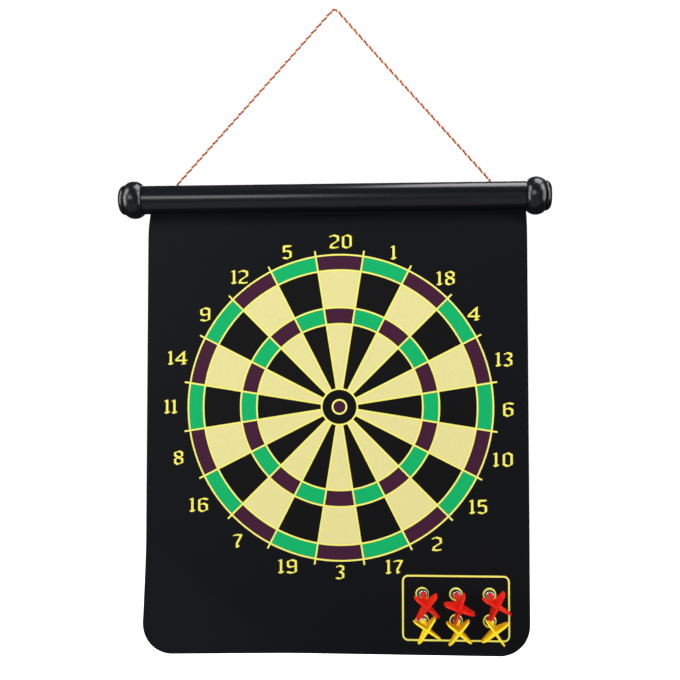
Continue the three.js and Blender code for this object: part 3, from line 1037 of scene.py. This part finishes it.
def fin_section(radius, slim):
    """One ring of the flight where its fins reach a radius; slim thins them at their rear edge."""
    core = FLIGHT["core"]
    root = FLIGHT["fin_root"] * slim
    tip = FLIGHT["fin_tip"] * slim
    start = math.sqrt(core ** 2 - root ** 2)
    tip_x = max(radius - tip, start + 0.05)
    reach = (tip_x - start) / (FLIGHT["fin_radius"] - start)
    half = root + (tip - root) * reach
    corner = Vector((start, root))
    side = [corner.lerp(Vector((tip_x, half)), share) for share in (0.33, 0.66, 1.0)]
    rounding = [
        Vector((tip_x + (radius - tip_x) * math.cos(a), half * math.sin(a)))
        for a in (math.radians(60), math.radians(30))
    ]
    upper = [corner, *side, *rounding]
    lower = [Vector((p.x, -p.y)) for p in upper]
    valley = Vector((math.cos(math.radians(45)), -math.sin(math.radians(45)))) * core
    return [valley, *lower, Vector((radius, 0)), *upper[::-1]]


def round_section(radius):
    """A quarter of a plain ring, with as many points as a quarter of the ring of fins."""
    return [
        Vector((radius * math.cos(a), radius * math.sin(a)))
        for a in (math.radians(-45 + 90 * i / FIN_POINTS) for i in range(FIN_POINTS))
    ]


def slimming(height):
    """How thick a fin is at a height, as a share: it rounds off over the last stretch to its rear."""
    left = min(1.0, (FLIGHT["rear"] + 0.1 - height) / FLIGHT["rounding"])
    rounded = math.sqrt(max(0.0, 1 - (1 - left) ** 2))
    return min(1.0, FLIGHT["slimmest"] + (1 - FLIGHT["slimmest"]) * rounded)


def flight_mesh(place):
    """The flight as one skin: rings up the pin, collar and neck, then rings of four fins."""
    rings = [(height, round_section(radius)) for radius, height in FLIGHT_BODY]
    for point in fin_outline():
        rings.append((point.y, fin_section(point.x, slimming(point.y))))
    verts, rows = [], []
    for height, quarter in rings:
        rows.append(list(range(len(verts), len(verts) + 4 * FIN_POINTS)))
        for turn in range(4):
            for point in quarter:
                x, y = (
                    (point.x, point.y), (-point.y, point.x), (-point.x, -point.y), (point.y, -point.x),
                )[turn]
                verts.append(place @ Vector((x, y, height)))
    faces = [tuple(rows[0])]
    for low, high in zip(rows, rows[1:]):
        faces += strip(low, high)
    verts.append(place @ Vector((0, 0, FLIGHT["length"])))
    return verts, faces + strip(rows[-1], [len(verts) - 1])


def add_dart(name, dart):
    colour = name.split("_")[0]
    foot = (PRINT_CENTRE.x + dart["at"][0], DART_FOOT_Y, PRINT_CENTRE.y + dart["at"][1])
    # The turning axis, +Z in the profiles, goes to -Y, away from the board.
    axes = Matrix(((1, 0, 0, 0), (0, 0, -1, 0), (0, 1, 0, 0), (0, 0, 0, 1)))
    place = LEANING @ Matrix.Translation(foot) @ axes
    straight = Vector((0, 0, 1))
    tail = Vector((dart["tail"][0], dart["tail"][1], FLIGHT["length"] - LEAN_PIVOT))
    pivot = Matrix.Translation((0, 0, LEAN_PIVOT))
    lean = straight.rotation_difference(tail).to_matrix().to_4x4()
    turn = Matrix.Rotation(math.radians(dart["turn"]), 4, "Z")
    flight_place = place @ pivot @ lean @ turn @ pivot.inverted()
    pieces = (
        ("magnet", turned(MAGNET_PROFILE, 48, place), NICKEL, "magnet_nickel", 30),
        ("cap", turned(CAP_OUTSIDE + CAP_INSIDE, 64, place), CHROME, "cap_chrome", 50),
        ("flight", flight_mesh(flight_place), FLIGHT_FINISH[colour], f"flight_{colour}", 40),
    )
    for part, (verts, faces), material, slot, sharp in pieces:
        node = f"{name}_{part}"
        make_piece(f"{node}_fine", verts, faces, [material], name, [node], sharp=sharp)


for dart_name, dart_facts in DARTS.items():
    add_dart(dart_name, dart_facts)

# Stage: a white sweep and a ring of soft boxes, whose strengths were fitted to the photo by trial

WATTS_PER_RADIANCE = 4
FLOOR_DROP = 0.15


def softbox(name, centre, aim, width, height, radiance):
    """A rectangular light in metres, which the camera doesn't see."""
    data = bpy.data.lights.new(name, "AREA")
    data.shape = "RECTANGLE"
    data.size = width
    data.size_y = height
    data.energy = radiance * WATTS_PER_RADIANCE * width * height
    light = bpy.data.objects.new(name, data)
    scene.collection.objects.link(light)
    light.location = centre
    light.rotation_euler = (Vector(aim) - Vector(centre)).to_track_quat("-Z", "Y").to_euler()
    light.visible_camera = False


def add_lights():
    middle = (0, 0, -0.35)
    tube = (0, 0, TUBE_AXIS_Z * MM)
    softbox("overhead", (0.5, -0.1, 1.3), tube, 1.0, 1.0, 5.0)
    softbox("top_left", (-1.3, -0.6, 0.7), middle, 0.8, 0.8, 5.0)
    softbox("top_right", (1.3, -0.6, 0.7), middle, 0.8, 0.8, 5.8)
    softbox("front_left", (-0.85, -2.0, 0.07), tube, 1.3, 0.75, 3.0)
    softbox("front_fill", (0.0, -3.0, -0.5), middle, 3.0, 2.0, 0.15)
    softbox("side_left", (-1.8, -0.6, -0.3), middle, 0.8, 1.4, 5.1)
    softbox("side_right", (1.8, -0.6, -0.3), middle, 0.8, 1.4, 4.1)
    softbox("floor_bounce", (-0.25, -0.9, -1.6), middle, 3.2, 1.6, 0.25)
    softbox("behind", (0.0, 1.8, 0.6), middle, 1.6, 0.8, 2.0)


def add_world():
    """White for the camera, and dim for light and reflections, as in a dark studio with a lit sweep."""
    world = bpy.data.worlds.new("studio")
    scene.world = world
    world.use_nodes = True
    tree = world.node_tree
    tree.nodes.clear()
    output = tree.nodes.new("ShaderNodeOutputWorld")
    mix = tree.nodes.new("ShaderNodeMixShader")
    path = tree.nodes.new("ShaderNodeLightPath")
    dim = tree.nodes.new("ShaderNodeBackground")
    dim.inputs["Strength"].default_value = 0.05
    white = tree.nodes.new("ShaderNodeBackground")
    white.inputs["Color"].default_value = (1, 1, 1, 1)
    white.inputs["Strength"].default_value = 1.05
    tree.links.new(path.outputs["Is Camera Ray"], mix.inputs["Fac"])
    tree.links.new(dim.outputs[0], mix.inputs[1])
    tree.links.new(white.outputs[0], mix.inputs[2])
    tree.links.new(mix.outputs[0], output.inputs["Surface"])


def add_floor():
    """The white paper, which only the camera sees, so that it neither shades nor colours the part."""
    finish = Finish("floor_paper", (0.9, 0.9, 0.9, 1), 0.9, Emission_Strength=0.99)
    finish.shader.inputs["Emission Color"].default_value = (1, 1, 1, 1)
    finish.bump(finish.noise(4, 2), 0.02)
    size = 12.0
    level = cad_box[0].z - FLOOR_DROP
    mesh = bpy.data.meshes.new("floor")
    corners = [(-size, -size, level), (size, -size, level), (size, size, level), (-size, size, level)]
    mesh.from_pydata(corners, [], [(0, 1, 2, 3)])
    mesh.materials.append(finish.material)
    floor = bpy.data.objects.new("floor", mesh)
    scene.collection.objects.link(floor)
    floor.visible_glossy = False
    floor.visible_diffuse = False
    floor.visible_shadow = False


add_lights()
add_world()
add_floor()
scene.view_settings.view_transform = "Standard"
